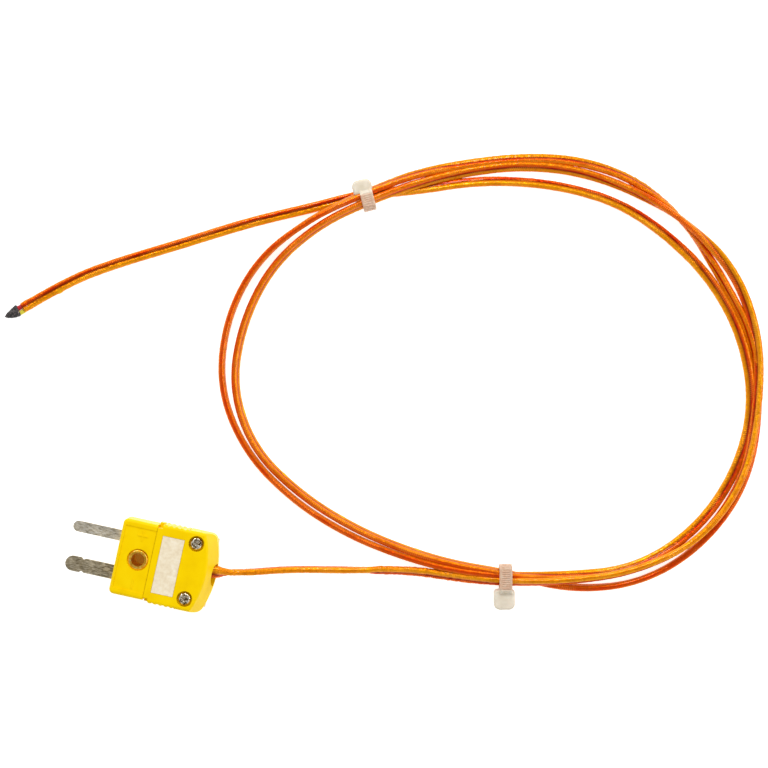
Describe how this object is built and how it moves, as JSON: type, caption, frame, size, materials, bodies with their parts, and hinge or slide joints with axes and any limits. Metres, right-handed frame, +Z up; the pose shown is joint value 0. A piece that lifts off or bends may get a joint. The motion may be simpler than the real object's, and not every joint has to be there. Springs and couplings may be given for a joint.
{
  "type": "thermocouple probe",
  "caption": "Thermocouple probe with a yellow miniature flat-blade connector, film-wrapped flat twin cable in a tied loop, and a sealed welded tip.",
  "frame": {"origin": "on the surface the probe lies on, below the middle of the connector measured with its blades and without the cable", "axes": "+X along the connector from the blades to the cable, +Y towards the positive (narrow) blade, +Z up, away from the surface"},
  "size_m": [0.1631, 0.1115, 0.008],
  "materials": {
    "yellow_plastic": "moulded, satin to semi-gloss, bright yellow",
    "label": "matt write-on surface, off-white",
    "brass": "drawn tube with rolled rim, slightly darkened inside",
    "blade_alloy_positive": "dull stamped nickel alloy with lengthwise drawing marks",
    "blade_alloy_negative": "dull stamped nickel alloy with lengthwise drawing marks",
    "screw_steel": "bright nickel plate",
    "terminal_steel": "nickel plated",
    "core_yellow": "film-wrapped core, yellow",
    "core_red": "film-wrapped core, red",
    "conductor_wire": "bare solid thermocouple wire",
    "amber_film": "glossy amber polyimide film over one red and one yellow core",
    "natural_nylon": "translucent natural nylon",
    "weld_metal": "welded bead",
    "seal_compound": "hard dark sealing compound, slightly rough"
  },
  "bodies": {
    "connector": {"plug_base": "yellow_plastic", "plug_front_cap": "yellow_plastic", "hollow_rivet": "brass", "blade_positive": "blade_alloy_positive", "blade_negative": "blade_alloy_negative", "terminal_washer_positive": "terminal_steel", "terminal_washer_negative": "terminal_steel", "core_positive_plug_end": "core_yellow", "core_negative_plug_end": "core_red", "conductor_positive_plug_end": "conductor_wire", "conductor_negative_plug_end": "conductor_wire", "cable_plug_lead": "amber_film", "cable_coil": "amber_film", "cable_tip_lead": "amber_film", "cable_tie_top": "natural_nylon", "cable_tie_bottom": "natural_nylon", "core_positive_tip": "core_yellow", "core_negative_tip": "core_red", "conductor_positive_tip": "conductor_wire", "conductor_negative_tip": "conductor_wire", "weld_bead": "weld_metal", "tip_seal": "seal_compound"},
    "rear_cover": {"plug_rear_cover": "yellow_plastic", "write_on_label": "label"},
    "cover_screw_left": {"cover_screw_left": "screw_steel"},
    "cover_screw_right": {"cover_screw_right": "screw_steel"},
    "terminal_screw_positive": {"terminal_screw_positive": "terminal_steel"},
    "terminal_screw_negative": {"terminal_screw_negative": "terminal_steel"}
  },
  "joints": [
    {"name": "cover_lift", "type": "slide", "parent": "connector", "child": "rear_cover", "axis": [0, 0, 1], "range_m": [0, 0.012]},
    {"name": "cover_screw_left_turn", "type": "hinge", "parent": "rear_cover", "child": "cover_screw_left", "pos_m": [0.0106, 0.0059, 0.007], "axis": [0, 0, 1], "continuous": true},
    {"name": "cover_screw_right_turn", "type": "hinge", "parent": "rear_cover", "child": "cover_screw_right", "pos_m": [0.0106, -0.0059, 0.007], "axis": [0, 0, 1], "continuous": true},
    {"name": "terminal_screw_positive_turn", "type": "hinge", "parent": "connector", "child": "terminal_screw_positive", "pos_m": [0.0062, 0.00395, 0.004], "axis": [0, 0, 1], "continuous": true},
    {"name": "terminal_screw_negative_turn", "type": "hinge", "parent": "connector", "child": "terminal_screw_negative", "pos_m": [0.0062, -0.00395, 0.004], "axis": [0, 0, 1], "continuous": true}
  ]
}
